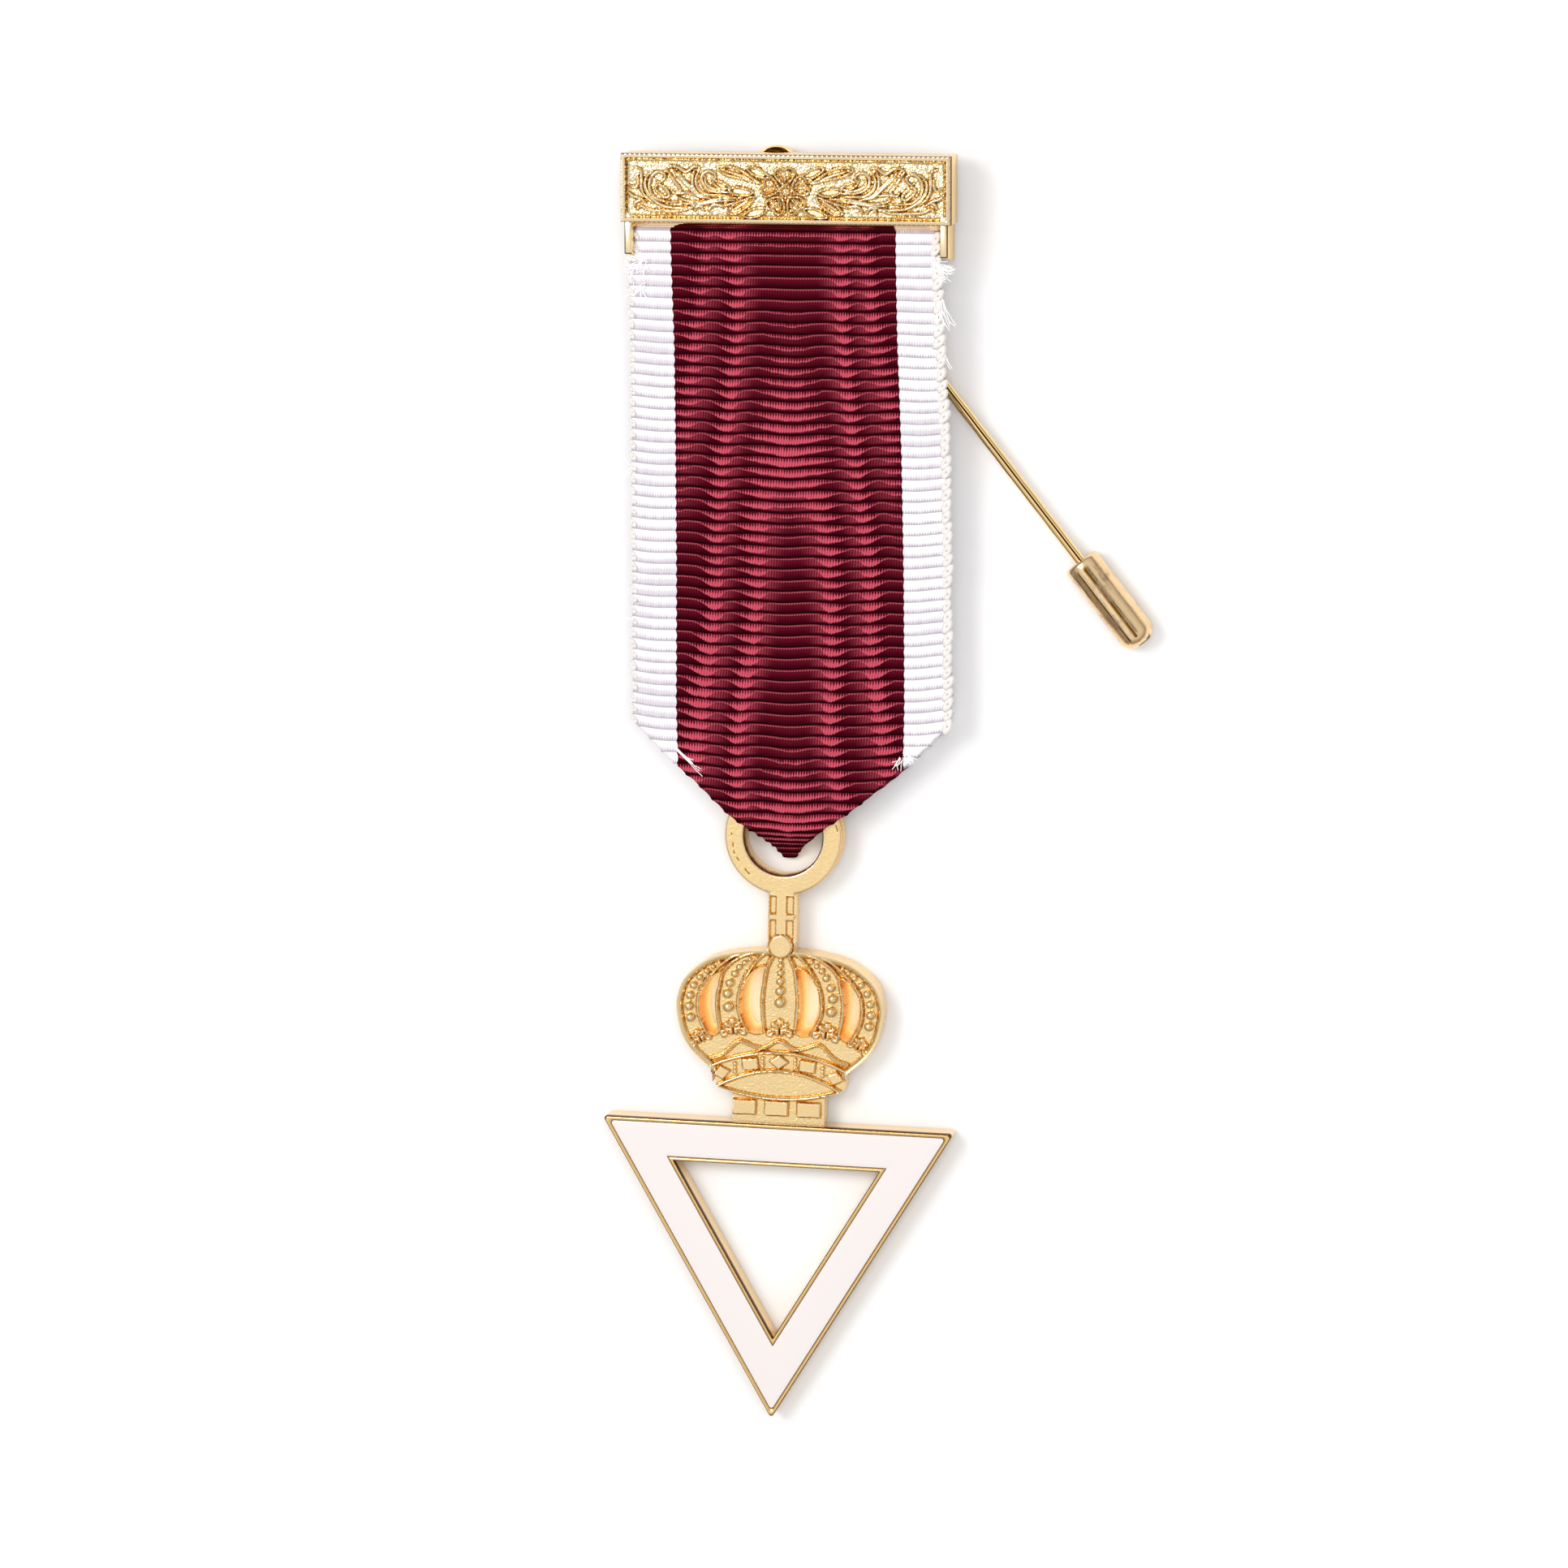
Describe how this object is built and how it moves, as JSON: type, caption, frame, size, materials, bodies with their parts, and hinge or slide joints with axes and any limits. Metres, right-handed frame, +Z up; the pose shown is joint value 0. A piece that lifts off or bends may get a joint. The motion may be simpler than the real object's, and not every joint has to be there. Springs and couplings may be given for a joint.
{
  "type": "masonic jewel",
  "caption": "Lodge breast jewel lying on its back: cast gilt bar, crimson and white ribbon, crowned triangle pendant in white enamel, swivelling stick pin with a guard.",
  "frame": {"origin": "the pin's pivot, on the surface that the jewel lies on", "axes": "+Y up the jewel from the pendant to the bar, +Z up from the surface, +X to the right seen from the front"},
  "size_m": [0.056, 0.1289, 0.008],
  "materials": {
    "gilt_bar": "polished cast gilt metal",
    "gilt_pendant": "satin cast gilt metal",
    "brass": "drawn brass wire",
    "aged_brass": "aged brass",
    "ribbon_silk": "ribbed watered silk, crimson with white borders",
    "white_enamel": "smooth cold enamel"
  },
  "bodies": {
    "jewel": {"bar": "gilt_bar", "pin_rivet": "brass", "ribbon": "ribbon_silk", "pendant": "gilt_pendant", "enamel": "white_enamel"},
    "pin": {"pin": "brass"},
    "guard": {"pin_guard": "aged_brass"}
  },
  "joints": [
    {"name": "pin_swivel", "type": "hinge", "parent": "jewel", "child": "pin", "pos_m": [0, 0, 0.0021], "axis": [0, 0, 1], "range_deg": [-13, 298]},
    {"name": "guard_slide", "type": "slide", "parent": "pin", "child": "guard", "axis": [0.6198, -0.7848, 0], "range_m": [0, 0.012]}
  ]
}
